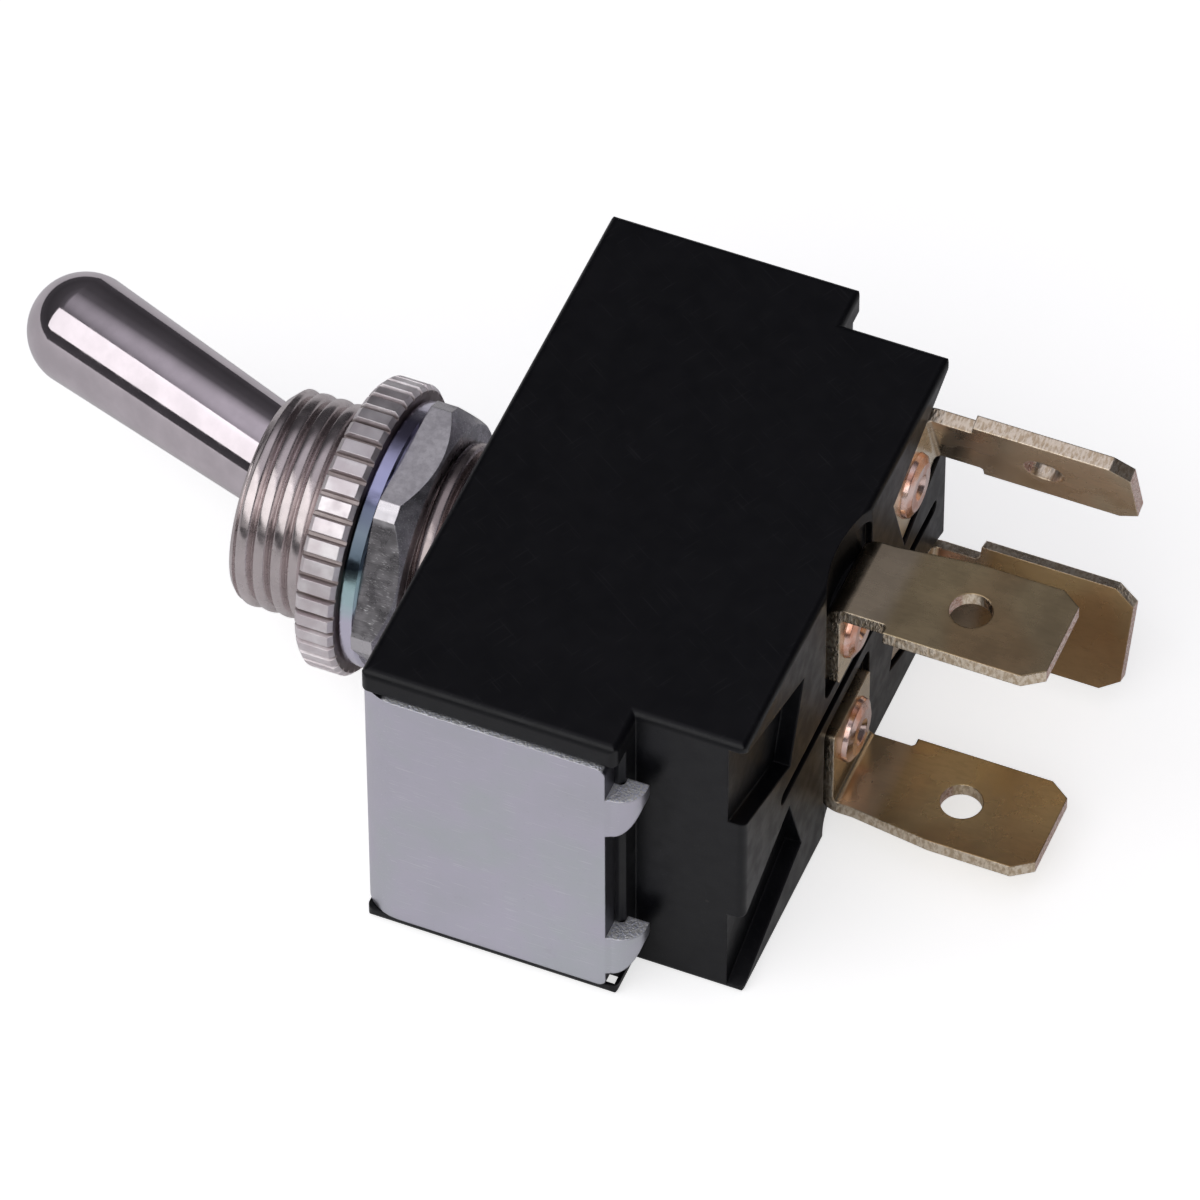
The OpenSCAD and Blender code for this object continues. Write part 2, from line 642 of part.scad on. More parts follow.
// Stamped channel: foot plate on the floor and two cheeks with round noses.
module support(s) brass() to_frame() translate([0, 0, s * pole_z]) {
  half_z = cheek_gap / 2 + cheek_t;
  difference() {
    translate([-plate_l / 2, floor_y - plate_t, -half_z]) cube([plate_l, plate_t, 2 * half_z]);
    along_y(floor_y - 2) cylinder(r = rivet_d / 2 + rivet_clear, h = 4, $fn = 32);
  }
  for (z = [-half_z, half_z - cheek_t]) translate([0, 0, z]) linear_extrude(cheek_t) {
    translate([0, rock_y]) circle(r = nose_r, $fn = 32);
    polygon([[-nose_r, rock_y], [nose_r, rock_y], [plate_l / 2 - 0.4, floor_y - plate_t + e],
      [-plate_l / 2 + 0.4, floor_y - plate_t + e]]);
  }
}
module support_upper() support(1);
module support_lower() support(-1);

module fixed_contact(s) silver() to_frame() translate([-end_x, 0, s * end_z])
  turned([[0, floor_y - head_t - disc_t], [disc_d / 2 - 0.2, floor_y - head_t - disc_t],
    [disc_d / 2, floor_y - head_t - disc_t + 0.2], [disc_d / 2, floor_y - head_t],
    [0, floor_y - head_t]], 40);
module fixed_contact_upper() fixed_contact(1);
module fixed_contact_lower() fixed_contact(-1);

// ---------- terminals and rivets ----------
// Drawn with the rivet on the Y axis and the tab on the +Z side of it. A shifted terminal has
// a shoulder on its +X side only, and widens evenly on the other.
module tab_outline(foot_y, step_y, w, shift) {
  tip_y = step_y + tab_l;
  x0 = -tab_w / 2 - shift;
  x1 = tab_w / 2 - shift;
  n1 = w / 2 - shift;
  difference() {
    polygon(concat([[-w / 2 - shift, foot_y + tab_t]],
      shift > 0 ? [[-w / 2 - shift, step_y - 1.5], [x0, step_y + 3]]
        : [[-w / 2, step_y - 0.15], [-w / 2 - 0.15, step_y], [x0, step_y]],
      [[x0, tip_y - tab_ch * 1.4], [x0 + tab_ch, tip_y], [x1 - tab_ch, tip_y],
        [x1, tip_y - tab_ch * 1.4], [x1, step_y], [n1 + 0.15, step_y], [n1, step_y - 0.15],
        [n1, foot_y + tab_t]]));
    translate([-shift, step_y + hole_y]) circle(d = hole_d, $fn = 36);
  }
}

module terminal(foot_y, step_y, w, shift = 0) {
  bend_in = 0.35;
  bend_out = bend_in + tab_t;
  corner = 0.25;
  // upright tab
  translate([0, 0, tab_off - tab_t]) linear_extrude(tab_t) difference() {
    tab_outline(foot_y, step_y, w, shift);
    translate([-w, foot_y - 1]) square([2 * w, 1 + bend_out]);
  }
  // fold between foot and tab
  translate([-w / 2 - shift, 0, 0]) rotate([90, 0, 90]) linear_extrude(w) intersection() {
    translate([foot_y + bend_out, tab_off - bend_out]) difference() {
      circle(r = bend_out, $fn = 48);
      circle(r = bend_in, $fn = 24);
    }
    translate([foot_y, tab_off - bend_out]) square(bend_out);
  }
  // foot with its rivet hole
  translate([0, foot_y, 0]) rotate([90, 0, 0]) mirror([0, 0, 1]) linear_extrude(tab_t)
    difference() {
      translate([-shift, 0]) union() {
        translate([-w / 2, -foot_in + corner])
          square([w, foot_in - corner + tab_off - bend_out + e]);
        translate([0, -foot_in + corner]) offset(corner)
          square([w - 2 * corner, 2 * e], center = true);
      }
      circle(r = rivet_d / 2 + rivet_clear, $fn = 32);
    }
}

module centre_terminal(s) brass() to_frame() translate([0, 0, s * pole_z])
  rotate([0, s > 0 ? 0 : 180, 0]) terminal(mid_floor, mid_step_y, mid_foot_w, mid_shift);
module centre_terminal_upper() centre_terminal(1);
module centre_terminal_lower() centre_terminal(-1);

module end_terminal(s) brass() to_frame() translate([-end_x, 0, s * end_z])
  rotate([0, -90 + s * end_turn, 0]) terminal(end_floor, end_step_y, foot_w);
module end_terminal_upper() end_terminal(1);
module end_terminal_lower() end_terminal(-1);

// Upset head outside, with the dimple left by the tool, and a head inside.
module rivet(foot_y, in_y, in_d, in_t)
  turned([[0, in_y - in_t], [in_d / 2 - 0.15, in_y - in_t], [in_d / 2, in_y - in_t + 0.15],
    [in_d / 2, in_y], [rivet_d / 2, in_y], [rivet_d / 2, foot_y + tab_t],
    [upset_d / 2, foot_y + tab_t], [upset_d / 2 - 0.1, foot_y + tab_t + upset_t * 0.6],
    [upset_d / 2 - 0.5, foot_y + tab_t + upset_t], [0.75, foot_y + tab_t + upset_t],
    [0.45, foot_y + tab_t + upset_t - 0.35], [0, foot_y + tab_t + upset_t - 0.4]], 40);

module centre_rivet(s) copper() to_frame() translate([0, 0, s * pole_z])
  rivet(mid_floor, floor_y - plate_t, inner_head_d, 0.6);
module centre_rivet_upper() centre_rivet(1);
module centre_rivet_lower() centre_rivet(-1);

module end_rivet(s) copper() to_frame() translate([-end_x, 0, s * end_z])
  rivet(end_floor, floor_y, head_d, head_t);
module end_rivet_upper() end_rivet(1);
module end_rivet_lower() end_rivet(-1);

housing();
bracket();
insulator();
bushing();
hex_nut();
washer();
knurled_nut();
pivot_pin();
lever();
actuator();
spring_upper();
spring_lower();
plunger_upper();
plunger_lower();
rocker_upper();
rocker_lower();
moving_contact_upper();
moving_contact_lower();
support_upper();
support_lower();
fixed_contact_upper();
fixed_contact_lower();
centre_terminal_upper();
centre_terminal_lower();
end_terminal_upper();
end_terminal_lower();
centre_rivet_upper();
centre_rivet_lower();
end_rivet_upper();
end_rivet_lower();
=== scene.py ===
"""Panel toggle switch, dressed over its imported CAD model.

Blender works in metres; the sizes named here are in mm, and MM turns them into metres.
"""
import json
import math

import bmesh
import bpy
from mathutils import Matrix, Vector


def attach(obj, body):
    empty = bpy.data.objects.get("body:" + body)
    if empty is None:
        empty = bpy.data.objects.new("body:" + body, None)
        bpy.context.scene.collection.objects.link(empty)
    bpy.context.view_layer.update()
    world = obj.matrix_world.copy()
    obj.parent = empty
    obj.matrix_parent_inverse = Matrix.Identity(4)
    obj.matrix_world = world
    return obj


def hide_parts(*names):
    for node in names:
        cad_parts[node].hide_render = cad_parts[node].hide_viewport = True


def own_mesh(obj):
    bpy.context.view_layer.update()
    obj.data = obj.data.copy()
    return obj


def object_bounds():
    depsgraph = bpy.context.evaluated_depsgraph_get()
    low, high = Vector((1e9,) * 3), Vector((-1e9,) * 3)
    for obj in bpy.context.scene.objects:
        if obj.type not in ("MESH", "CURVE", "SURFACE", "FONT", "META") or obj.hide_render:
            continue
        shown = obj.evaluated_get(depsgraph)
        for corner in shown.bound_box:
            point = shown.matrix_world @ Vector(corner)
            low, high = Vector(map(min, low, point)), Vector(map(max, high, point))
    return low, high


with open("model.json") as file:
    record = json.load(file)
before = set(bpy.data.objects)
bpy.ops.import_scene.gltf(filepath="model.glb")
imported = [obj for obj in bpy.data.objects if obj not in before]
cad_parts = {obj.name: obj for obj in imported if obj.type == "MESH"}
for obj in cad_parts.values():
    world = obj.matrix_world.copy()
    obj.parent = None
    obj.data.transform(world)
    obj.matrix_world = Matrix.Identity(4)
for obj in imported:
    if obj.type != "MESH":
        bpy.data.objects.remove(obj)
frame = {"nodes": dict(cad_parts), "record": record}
cad_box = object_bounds()
nodes = frame["nodes"]
MM = 0.001

# Main sizes; y is counted from the bracket's front. They are those of the part's source, apart from
# BUSH_L, which was measured again on the photo, and MOUTH_R, which is wider to go with it.
BRACKET_Y = 10.25
BUSH_L, KNURL_Y, NECK_Y, SHEET = 13.1, 8.3, 3.0, 1.2
THREAD_R, MEAN_R, PITCH, THREAD_DEPTH = 6.0, 5.7, 1.0, 0.42
PIVOT_Y, SOCKET_R, THROAT_R, MOUTH_R = 7.0, 4.26, 3.5, 5.15
SPIGOT_R, RIM_R, RIM_L, BUSH_CHAMFER = 5.5, 6.2, 0.5, 0.5
PIN_BORE_R, LEVER_BORE_R = 1.0, 1.05
# Ends of the plain neck under the nuts, just past the ends of the thread
NECK_FRONT, NECK_REAR = -KNURL_Y - 0.01, -NECK_Y + 0.01
# The lever's tilt at rest and the end tabs' turn about Y, in degrees
TILT, END_TURN = 19, 19.5

# Where a look begins and is complete: y in the frame, r from the bushing's axis
SHEET_FRONT_Y = (11.3, 11.0)
LEG_END_Y = (23.78, 23.64)
TAB_BLADE_Y = (32.6, 33.6)
TAB_TIP_Y = (34, 34.2)
GROOVE_R = (7.74, 7.98)
HEX_CORNER_R = (7.65, 7.74)


# ---------- shader helpers ----------
class Shader:
    """A Principled material with short calls for the nodes that drive it."""

    def __init__(self, name, colour, roughness, metallic=0.0, **sockets):
        self.mat = bpy.data.materials.new(name)
        self.mat.use_nodes = True
        self.tree = self.mat.node_tree
        self.bsdf = self.tree.nodes["Principled BSDF"]
        self.set("Base Color", (*colour, 1))
        self.set("Roughness", roughness)
        self.set("Metallic", metallic)
        for key, value in sockets.items():
            self.set(key.replace("_", " "), value)
        self.mat.diffuse_color = (*colour, 1)
        self.coords = self.node("ShaderNodeTexCoord").outputs["Object"]
        self.normal = None

    def set(self, socket, value):
        self.bsdf.inputs[socket].default_value = value

    def node(self, kind, **props):
        made = self.tree.nodes.new(kind)
        for key, value in props.items():
            setattr(made, key, value)
        return made

    def link(self, source, target):
        self.tree.links.new(source, target)

    def mapped(self, scale=(1, 1, 1), turn=(0, 0, 0)):
        """Object coordinates, turned by degrees and then scaled."""
        turned = self.node("ShaderNodeMapping")
        turned.inputs["Rotation"].default_value = [math.radians(a) for a in turn]
        self.link(self.coords, turned.inputs["Vector"])
        scaled = self.node("ShaderNodeMapping")
        scaled.inputs["Scale"].default_value = scale
        self.link(turned.outputs[0], scaled.inputs["Vector"])
        return scaled.outputs[0]

    def noise(self, scale, detail=3.0, rough=0.55, vector=None):
        made = self.node("ShaderNodeTexNoise")
        made.inputs["Scale"].default_value = scale
        made.inputs["Detail"].default_value = detail
        made.inputs["Roughness"].default_value = rough
        self.link(vector or self.coords, made.inputs["Vector"])
        return made.outputs["Fac"]

    def cells(self, scale):
        """Distance from the nearest of many scattered points."""
        made = self.node("ShaderNodeTexVoronoi", feature="F1")
        made.inputs["Scale"].default_value = scale
        self.link(self.coords, made.inputs["Vector"])
        return made.outputs["Distance"]

    def band(self, value, low, high, out_low=0.0, out_high=1.0):
        """value between low and high, mapped smoothly to out_low ... out_high."""
        made = self.node("ShaderNodeMapRange", interpolation_type="SMOOTHSTEP")
        limits = {"From Min": low, "From Max": high, "To Min": out_low, "To Max": out_high}
        for key, number in limits.items():
            made.inputs[key].default_value = number
        self.link(value, made.inputs["Value"])
        return made.outputs["Result"]

    def math(self, kind, a, b):
        made = self.node("ShaderNodeMath", operation=kind)
        for socket, value in zip(made.inputs, (a, b)):
            if isinstance(value, (int, float)):
                socket.default_value = value
            else:
                self.link(value, socket)
        return made.outputs[0]

    def times(self, a, b):
        return self.math("MULTIPLY", a, b)

    def mix(self, factor, a, b):
        """Colour a where factor is 0 and b where it is 1; each is a tuple or a socket."""
        made = self.node("ShaderNodeMix", data_type="RGBA")
        for socket, value in ((made.inputs[0], factor), (made.inputs[6], a), (made.inputs[7], b)):
            if isinstance(value, tuple):
                socket.default_value = (*value, 1)
            elif isinstance(value, (int, float)):
                socket.default_value = value
            else:
                self.link(value, socket)
        return made.outputs[2]

    def colour(self, value):
        self.link(value, self.bsdf.inputs["Base Color"])

    def roughness(self, value):
        self.link(value, self.bsdf.inputs["Roughness"])

    def bump(self, height, distance, strength=1.0):
        made = self.node("ShaderNodeBump")
        made.inputs["Distance"].default_value = distance
        made.inputs["Strength"].default_value = strength
        self.link(height, made.inputs["Height"])
        if self.normal:
            self.link(self.normal, made.inputs["Normal"])
        self.normal = made.outputs[0]
        self.link(self.normal, self.bsdf.inputs["Normal"])

    def soft_edges(self, radius):
        """Rounds sharp edges in the shading. It comes before any bump."""
        made = self.node("ShaderNodeBevel", samples=6)
        made.inputs["Radius"].default_value = radius
        self.normal = made.outputs[0]
        self.link(self.normal, self.bsdf.inputs["Normal"])

    def streaks(self, length, width, turn=(0, 0, 0), low=0.66, high=0.72, wander=0.0):
        """Thin marks along the turned X axis: 1 on a mark, 0 off it."""
        vector = self.mapped((1 / length, 1 / width, 1 / width), turn)
        return self.band(self.noise(1.0, wander, 0.5, vector), low, high)

    def facing(self, direction, low=0.6, high=0.8, both=True):
        """1 where the surface looks along a direction of the object, or if both against it too.

        low and high are cosines: 0 below the one, 1 above the other.
        """
        dot = self.node("ShaderNodeVectorMath", operation="DOT_PRODUCT")
        self.link(self.node("ShaderNodeTexCoord").outputs["Normal"], dot.inputs[0])
        dot.inputs[1].default_value = direction
        value = dot.outputs["Value"]
        if both:
            value = self.math("ABSOLUTE", value, 0.0)
        return self.band(value, low, high)

    def from_axis(self, low, high, out_low=0.0, out_high=1.0):
        """out_low to out_high as the distance from the bushing's axis goes from low to high."""
        flat = self.node("ShaderNodeVectorMath", operation="MULTIPLY")
        self.link(self.coords, flat.inputs[0])
        flat.inputs[1].default_value = (1, 0, 1)
        length = self.node("ShaderNodeVectorMath", operation="LENGTH")
        self.link(flat.outputs[0], length.inputs[0])
        return self.band(length.outputs["Value"], low * MM, high * MM, out_low, out_high)

    def xyz(self):
        split = self.node("ShaderNodeSeparateXYZ")
        self.link(self.coords, split.inputs[0])
        return split.outputs

    def along_y(self, low, high):
        """0 to 1 as y goes from low to high."""
        return self.band(self.xyz()["Y"], low * MM, high * MM)

    def round_axis(self, low, high):
        """0 to 1 as the angle round the bushing's axis goes from low to high degrees.

        It is counted from +Z toward +X.
        """
        place = self.xyz()
        angle = self.math("ARCTAN2", place["X"], place["Z"])
        from_low = self.math("SUBTRACT", angle, math.radians(low))
        return self.math("DIVIDE", from_low, math.radians(high - low))

    def ramp(self, value, stops):
        """A run of colours; stops: (place from 0 to 1, colour) pairs in order."""
        made = self.node("ShaderNodeValToRGB")
        self.link(value, made.inputs["Fac"])
        ramp = made.color_ramp
        ramp.elements[0].position, ramp.elements[0].color = stops[0][0], (*stops[0][1], 1)
        ramp.elements[1].position, ramp.elements[1].color = stops[-1][0], (*stops[-1][1], 1)
        for place, shade in stops[1:-1]:
            ramp.elements.new(place).color = (*shade, 1)
        return made.outputs["Color"]


# ---------- materials ----------
def phenolic():
    s = Shader("phenolic", (0.0022, 0.0024, 0.0040), 0.34, Specular_IOR_Level=0.30)
    s.soft_edges(0.14 * MM)
    mottle = s.noise(300, 4.0)
    base = s.mix(s.band(mottle, 0.35, 0.7),
                 (0.0017, 0.0019, 0.0034), (0.0032, 0.0033, 0.0050))
    dust = s.band(s.cells(420), 0.03, 0.06, 1.0, 0.0)
    dust = s.times(dust, s.band(s.noise(260, 1.0), 0.62, 0.66))
    marks = s.streaks(2.2 * MM, 0.07 * MM, (0, 0, 28), 0.76, 0.78)
    marks = s.math("MAXIMUM", marks, s.streaks(3.0 * MM, 0.06 * MM, (0, 0, -57), 0.77, 0.79))
    base = s.mix(s.times(marks, 0.5), base, (0.020, 0.020, 0.023))
    s.colour(s.mix(s.times(dust, 0.6), base, (0.045, 0.040, 0.038)))
    s.roughness(s.band(s.noise(900, 3.0), 0.3, 0.7, 0.30, 0.42))
    s.bump(s.noise(4200, 2.0), 0.002 * MM)
    s.bump(s.noise(190, 3.0), 0.015 * MM)
    return s.mat


def zinc_sheet():
    s = Shader("zinc_sheet", (0.66, 0.65, 0.72), 0.34, 1.0)
    s.soft_edges(0.16 * MM)
    tint = s.ramp(s.noise(95, 4.0, 0.55), (
        (0.32, (0.64, 0.64, 0.70)),
        (0.46, (0.68, 0.66, 0.75)),
        (0.56, (0.65, 0.67, 0.71)),
        (0.70, (0.71, 0.68, 0.78))))
    faint = s.streaks(10 * MM, 0.06 * MM, (0, 0, 74), 0.70, 0.73, 1.0)
    tint = s.mix(s.times(faint, 0.30), tint, (0.50, 0.49, 0.56))
    fine = s.streaks(8 * MM, 0.05 * MM, (0, 0, 88), 0.735, 0.76)
    base = s.mix(s.times(fine, 0.30), tint, (0.92, 0.92, 0.96))
    stain = s.band(s.noise(300, 4.0, 0.7), 0.66, 0.76)
    base = s.mix(s.times(stain, 0.22), base, (0.52, 0.48, 0.56))
    # sheared edges: bright, with a sparkle, and at the front dark with painted shade;
    # the leg's end between the ears is dark with painted shade
    sheared = s.facing((0, 0, 1))
    spark = s.band(s.noise(7500, 2.0, 0.7), 0.36, 0.60)
    base = s.mix(sheared, base, s.mix(spark, (0.86, 0.88, 0.98), (1.0, 1.0, 1.0)))
    # painted shade: the sheared edges at the front are near-black
    front = s.times(sheared, s.along_y(*SHEET_FRONT_Y))
    base = s.mix(front, base, (0.03, 0.03, 0.035))
    # painted shade on the leg's end between the ears
    leg_end_shade = s.times(s.facing((0, 1, 0), 0.6, 0.8, False), s.along_y(*LEG_END_Y))
    s.colour(s.mix(s.times(leg_end_shade, 0.9), base, (0.10, 0.10, 0.12)))
    s.roughness(s.math("ADD", s.band(s.noise(300, 3.0), 0.3, 0.7, 0.30, 0.38),
                       s.times(sheared, 0.26)))
    s.bump(s.streaks(9 * MM, 0.12 * MM, (0, 0, 90), 0.40, 0.60, 2.0), 0.0003 * MM)
    s.bump(s.noise(300, 2.0), 0.006 * MM)
    s.bump(s.times(sheared, s.noise(6500, 2.0, 0.7)), 0.09 * MM)
    return s.mat


def nickel(name, colour, roughness, ripple, turned=False):
    """turned adds soft edges, tool marks and painted shade behind the nuts."""
    s = Shader(name, colour, roughness, 1.0)
    if turned:
        s.soft_edges(0.03 * MM)
    dark = tuple(c * 0.86 for c in colour)
    base = s.mix(s.band(s.noise(420, 4.0), 0.35, 0.7), dark, colour)
    if turned:
        # painted shade on the thread between the hex nut and the bracket
        behind = s.along_y(BRACKET_Y - NECK_Y - 0.6, BRACKET_Y - NECK_Y)
        base = s.mix(s.times(behind, 0.6), base, (0.24, 0.19, 0.18))
    s.colour(base)
    s.roughness(s.band(s.noise(1400, 3.0), 0.35, 0.7, roughness * 0.8, roughness * 1.4))
    s.bump(s.noise(900, 4.0, 0.6), ripple)
    if turned:
        s.bump(s.noise(1.0, 3.0, 0.6, s.mapped((350, 9000, 350))), 0.002 * MM)
    return s.mat


def knurled_nickel():
    """The face nut, with painted shade in its grooves and on its rear face."""
    s = Shader("knurled_nickel", (0.92, 0.87, 0.89), 0.34, 1.0)
    s.soft_edges(0.06 * MM)
    base = s.mix(s.band(s.noise(520, 4.0), 0.35, 0.7), (0.80, 0.73, 0.75), (0.98, 0.94, 0.95))
    # painted shade in the grooves and, darker, on the rear face
    groove = s.times(s.from_axis(*GROOVE_R, 1.0, 0.0), s.facing((0, 1, 0), 0.8, 0.6))
    rear = s.facing((0, 1, 0), 0.75, 0.95, False)
    shade = s.times(s.math("MAXIMUM", groove, rear), 0.86)
    s.colour(s.mix(shade, base, s.mix(rear, (0.30, 0.25, 0.24), (0.13, 0.09, 0.08))))
    s.roughness(s.band(s.noise(1400, 3.0), 0.35, 0.7, 0.42, 0.56))
    s.bump(s.noise(900, 4.0, 0.6), 0.008 * MM)
    return s.mat


# Film tint with painted reflections: pale and near-black bands by the angle round the rim
FILM_TINT_AND_PAINTED_REFLECTIONS = (
    (0.00, (0.74, 0.70, 0.82)),
    (0.21, (0.68, 0.65, 0.78)),
    (0.24, (0.30, 0.28, 0.42)),
    (0.29, (0.34, 0.32, 0.48)),
    (0.32, (0.60, 0.60, 0.88)),
    (0.44, (0.52, 0.54, 0.82)),
    (0.47, (0.08, 0.09, 0.14)),
    (0.54, (0.13, 0.16, 0.20)),
    (0.615, (0.07, 0.10, 0.13)),
    (0.64, (0.50, 0.72, 0.74)),
    (0.71, (0.56, 0.74, 0.78)),
    (0.76, (0.72, 0.69, 0.83)),
    (1.00, (0.68, 0.65, 0.77)))


def blue_zinc():
    """The washer: its passivated film gives the blue-violet tint; pale and dark bands round the rim
    are painted reflections.
    """
    s = Shader("blue_zinc", (0.60, 0.61, 0.72), 0.18, 1.0)
    s.soft_edges(0.05 * MM)
    streaky = s.noise(1.0, 3.0, 0.6, s.mapped((900, 300, 900)))
    wander = s.times(s.math("SUBTRACT", streaky, 0.5), 0.05)
    # painted reflections as bands over the rim's half from -60 to 130 degrees
    s.colour(s.ramp(s.math("ADD", s.round_axis(-60, 130), wander), FILM_TINT_AND_PAINTED_REFLECTIONS))
    s.roughness(s.band(s.noise(900, 4.0), 0.35, 0.7, 0.12, 0.26))
    s.bump(s.noise(700, 3.0), 0.010 * MM)
    return s.mat


def cut_steel():
    """The hex nut: its upper flat is duller, and painted pale as lit from above; the others are
    dark with cut marks.
    """
    s = Shader("cut_steel", (0.62, 0.60, 0.62), 0.30, 1.0)
    s.soft_edges(0.08 * MM)
    upper = s.facing((0, 0, 1), 0.93, 0.98, False)
    streaky = s.noise(1.0, 3.0, 0.6, s.mapped((1500, 700, 1500)))
    base = s.mix(s.band(streaky, 0.35, 0.7), (0.30, 0.29, 0.30), (0.46, 0.44, 0.46))
    marks = s.streaks(1.6 * MM, 0.05 * MM, (0, 0, 90), 0.58, 0.64, 1.0)
    base = s.mix(s.times(marks, 0.5), base, (0.20, 0.19, 0.20))
    nicks = s.streaks(1.4 * MM, 0.05 * MM, (10, 0, 86), 0.66, 0.70, 1.0)
    base = s.mix(s.times(nicks, 0.8), base, (0.95, 0.94, 0.95))
    corner = s.times(s.from_axis(*HEX_CORNER_R), s.facing((0, 1, 0), 0.3, 0.1))
    base = s.mix(corner, base, (0.62, 0.60, 0.62))
    grit = s.band(s.noise(2600, 3.0, 0.7), 0.35, 0.65)
    # painted light: the upward-facing flat is paler
    s.colour(s.mix(upper, base, s.mix(grit, (0.78, 0.76, 0.79), (0.95, 0.93, 0.96))))
    s.roughness(s.math("ADD", s.band(s.noise(1100, 3.0), 0.35, 0.7, 0.26, 0.40),
                       s.times(upper, 0.22)))
    s.bump(s.noise(1.0, 3.0, 0.6, s.mapped((4200, 600, 4200))), 0.006 * MM)
    s.bump(s.noise(700, 3.0), 0.008 * MM)
    return s.mat


def stamped_brass(name, colour, dull, edge=None):
    """Rolled sheet. For a tab, edge is the direction that its sheared long edges face."""
    s = Shader(name, colour, 0.3, 1.0)
    s.soft_edges(0.11 * MM)
    base = s.mix(s.band(s.noise(100, 2.0), 0.36, 0.64), dull, colour)
    warm = s.band(s.noise(1.0, 1.0, 0.5, s.mapped((120, 170, 120))), 0.50, 0.64)
    base = s.mix(s.times(warm, 0.45), base, (dull[0], dull[1] * 0.76, dull[2] * 0.62))
    grain = s.noise(1.0, 3.0, 0.7, s.mapped((4200, 1100, 4200)))
    base = s.mix(s.band(grain, 0.40, 0.72, 0.0, 0.22), base, tuple(c * 0.6 for c in dull))
    if edge:
        # painted light: the foot, short of the blade, is paler as lit
        painted_lit_foot = s.mix(0.35, base, (0.95, 0.84, 0.70))
        base = s.mix(s.along_y(*TAB_BLADE_Y), painted_lit_foot, base)
        long_edge = s.facing(edge)
        torn = s.noise(1.0, 2.0, 0.6, s.mapped((2500, 5200, 2500)))
        base = s.mix(long_edge, base, s.mix(s.band(torn, 0.35, 0.62),
                                            (0.66, 0.52, 0.36), (0.96, 0.84, 0.68)))
        tip = s.times(s.facing((0, 1, 0), 0.6, 0.8, False), s.along_y(*TAB_TIP_Y))
        spark = s.noise(7000, 3.0, 0.75)
        base = s.mix(tip, base, s.mix(s.band(spark, 0.40, 0.60),
                                      (0.62, 0.36, 0.27), (1.0, 0.83, 0.76)))
        s.bump(s.times(tip, spark), 0.12 * MM)
        s.bump(s.times(long_edge, torn), 0.03 * MM)
    s.colour(base)
    s.roughness(s.band(s.noise(500, 3.0), 0.3, 0.7, 0.22, 0.32))
    s.bump(s.noise(1.0, 3.0, 0.6, s.mapped((5200, 380, 5200))), 0.0015 * MM)
    s.bump(s.noise(260, 2.0), 0.012 * MM)
    return s.mat


def copper():
    s = Shader("copper", (0.92, 0.60, 0.50), 0.2, 1.0)
    s.soft_edges(0.10 * MM)
    s.colour(s.mix(s.band(s.noise(620, 4.0), 0.38, 0.60),
                   (0.84, 0.42, 0.29), (1.0, 0.77, 0.70)))
    s.roughness(s.band(s.noise(1500, 3.0), 0.35, 0.7, 0.14, 0.28))
    s.bump(s.noise(1300, 3.0), 0.018 * MM)
    return s.mat


def plain(name, colour, roughness, metallic, grain):
    """A material without marks, for the pieces inside and for small ones."""
    s = Shader(name, colour, roughness, metallic)
    shade = tuple(c * 0.8 for c in colour)
    s.colour(s.mix(s.band(s.noise(grain, 4.0), 0.35, 0.7), shade, colour))
    s.roughness(s.band(s.noise(grain * 3, 3.0), 0.3, 0.7, roughness * 0.8, roughness * 1.2))
    s.bump(s.noise(grain * 4, 3.0), 0.004 * MM)
    return s.mat


def end_edge(side):
    """The end tabs are turned about Y, one each way, and their sheared edges with them."""
    turn = math.radians(END_TURN)
    return (side * math.sin(turn), 0, math.cos(turn))


MATERIALS = {
    "phenolic": phenolic(),
    "zinc_steel": zinc_sheet(),
    "fibre": plain("fibre", (0.30, 0.17, 0.09), 0.8, 0.0, 900),
    "nickel": nickel("nickel", (0.67, 0.60, 0.60), 0.23, 0.004 * MM, True),
    "polished_nickel": nickel("polished_nickel", (0.74, 0.67, 0.71), 0.07, 0.002 * MM),
    "nut_steel": cut_steel(),
    "blue_zinc": blue_zinc(),
    "pin_steel": plain("pin_steel", (0.66, 0.66, 0.68), 0.2, 1.0, 700),
    "spring_steel": plain("spring_steel", (0.50, 0.50, 0.53), 0.25, 1.0, 1200),
    "actuator_plastic": plain("actuator_plastic", (0.33, 0.05, 0.03), 0.4, 0.0, 500),
    "brass": stamped_brass("brass", (0.74, 0.59, 0.34), (0.58, 0.46, 0.28), (1, 0, 0)),
    "contact_brass": stamped_brass("contact_brass", (0.78, 0.62, 0.34), (0.66, 0.50, 0.26)),
    "silver": plain("silver", (0.85, 0.85, 0.84), 0.22, 1.0, 900),
    "copper": copper(),
}
# Pieces that look different from the others of their slot; the terminals here are brass painted
# paler where lit and darker in shade
BY_NODE = {
    "knurled_nut": knurled_nickel(),
    # painted shade: darker than the slot's brass
    "centre_terminal_lower": stamped_brass(
        "brass_centre_lower_shaded", (0.66, 0.50, 0.26), (0.52, 0.38, 0.20), (1, 0, 0)),
    # painted light: paler than the slot's brass
    "end_terminal_upper": stamped_brass(
        "brass_end_upper_lit", (0.98, 0.85, 0.64), (0.84, 0.70, 0.50), end_edge(1)),
    # painted shade: darker than the slot's brass
    "end_terminal_lower": stamped_brass(
        "brass_end_lower_shaded", (0.53, 0.38, 0.20), (0.38, 0.26, 0.14), end_edge(-1)),
}


def dress(obj, material):
    obj.data.materials.clear()
    obj.data.materials.append(material)


for part in frame["record"]["subparts"]:
    node = part["node"]
    if node in nodes:
        dress(nodes[node], BY_NODE.get(node, MATERIALS[part["material_slot"]]))


# ---------- turned pieces ----------
def to_frame(angle, r, y):
    """A point of a solid of turning about Y, y in mm from the bracket's front."""
    return Vector((r * math.sin(angle) * MM, (y + BRACKET_Y) * MM, r * math.cos(angle) * MM))


